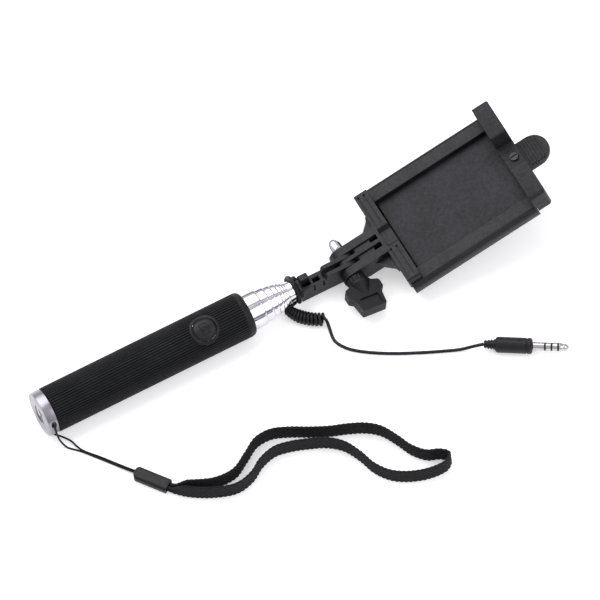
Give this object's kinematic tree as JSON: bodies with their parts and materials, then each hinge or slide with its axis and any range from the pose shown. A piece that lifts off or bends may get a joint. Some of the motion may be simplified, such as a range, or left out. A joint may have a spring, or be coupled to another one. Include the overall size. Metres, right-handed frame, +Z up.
{
  "type": "selfie stick",
  "caption": "Folded telescoping selfie stick with a ribbed grip, shutter button, chrome tubes, tilting spring-loaded phone clamp, coiled audio lead and wrist strap.",
  "frame": {"origin": "on the surface that the folded stick lies on, below the middle of its length and width, cords left out", "axes": "+X along the pole from the end cap to the phone clamp, +Z up, the side that the phone's screen faces; the wing knob is on the -Y side"},
  "size_m": [0.2372, 0.1285, 0.0363],
  "materials": {
    "grip_rubber": "matte moulded rubber with fine lengthwise ribs",
    "pad_rubber": "matte rubber pad",
    "black_plastic": "fine satin moulded plastic",
    "chrome": "bright chrome plate",
    "satin_metal": "satin turned face",
    "steel": "nickel-plated steel",
    "board": "circuit board",
    "cord": "smooth black jacket",
    "webbing": "braided nylon"
  },
  "bodies": {
    "handle": {"end_cap": "satin_metal", "tripod_insert": "steel", "grip": "grip_rubber", "tube_1": "chrome", "button_bezel": "black_plastic", "switch_board": "board", "switch_dome": "steel", "strap_string": "cord", "strap_ferrule": "black_plastic", "strap_webbing": "webbing"},
    "button": {"button_cap": "black_plastic"},
    "section_2": {"tube_2": "chrome"},
    "section_3": {"tube_3": "chrome"},
    "section_4": {"tube_4": "chrome"},
    "section_5": {"tube_5": "chrome"},
    "section_6": {"tube_6": "chrome"},
    "section_7": {"tube_7": "chrome"},
    "head": {"tube_8": "chrome", "inner_cord": "cord", "head": "black_plastic", "cable_gland": "black_plastic", "cable_wrap": "cord", "cable_coil": "cord", "cable_lead": "cord", "plug_boot": "black_plastic", "plug_body": "black_plastic", "jack_core": "black_plastic", "jack_sleeve": "steel", "jack_ring_2": "steel", "jack_ring_1": "steel", "jack_tip": "steel"},
    "clamp": {"clamp_base": "black_plastic", "clamp_housing": "black_plastic", "acorn_nut": "chrome", "return_spring_near": "steel", "return_spring_far": "steel"},
    "thumb_screw": {"wing_knob": "black_plastic", "hinge_screw": "steel"},
    "sliding_jaw": {"slide_plate": "black_plastic", "upper_jaw": "black_plastic", "jaw_screw": "steel", "jaw_pad_near": "pad_rubber", "jaw_pad_far": "pad_rubber", "guide_rod_near": "steel", "guide_rod_far": "steel"}
  },
  "joints": [
    {"name": "button_press", "type": "slide", "parent": "handle", "child": "button", "axis": [0, 0.342, -0.9397], "range_m": [0, 0.00045], "stiffness_N_per_m": 2000, "springref_m": -0.0002},
    {"name": "section_2_slide", "type": "slide", "parent": "handle", "child": "section_2", "axis": [1, 0, 0], "range_m": [0, 0.072]},
    {"name": "section_3_slide", "type": "slide", "parent": "section_2", "child": "section_3", "axis": [1, 0, 0], "range_m": [0, 0.072]},
    {"name": "section_4_slide", "type": "slide", "parent": "section_3", "child": "section_4", "axis": [1, 0, 0], "range_m": [0, 0.072]},
    {"name": "section_5_slide", "type": "slide", "parent": "section_4", "child": "section_5", "axis": [1, 0, 0], "range_m": [0, 0.072]},
    {"name": "section_6_slide", "type": "slide", "parent": "section_5", "child": "section_6", "axis": [1, 0, 0], "range_m": [0, 0.072]},
    {"name": "section_7_slide", "type": "slide", "parent": "section_6", "child": "section_7", "axis": [1, 0, 0], "range_m": [0, 0.072]},
    {"name": "head_slide", "type": "slide", "parent": "section_7", "child": "head", "axis": [1, 0, 0], "range_m": [0, 0.072]},
    {"name": "clamp_tilt", "type": "hinge", "parent": "head", "child": "clamp", "pos_m": [0.0245, 0, 0.00725], "axis": [0, -1, 0], "range_deg": [-103.2, 76.8]},
    {"name": "knob_turn", "type": "hinge", "parent": "clamp", "child": "thumb_screw", "pos_m": [0.0245, 0, 0.00725], "axis": [0, -1, 0], "range_deg": [0, 540]},
    {"name": "jaw_slide", "type": "slide", "parent": "clamp", "child": "sliding_jaw", "axis": [0.9736, 0, 0.2284], "range_m": [0, 0.028], "stiffness_N_per_m": 200, "springref_m": -0.02, "deforming": ["return_spring_near", "return_spring_far"]}
  ]
}
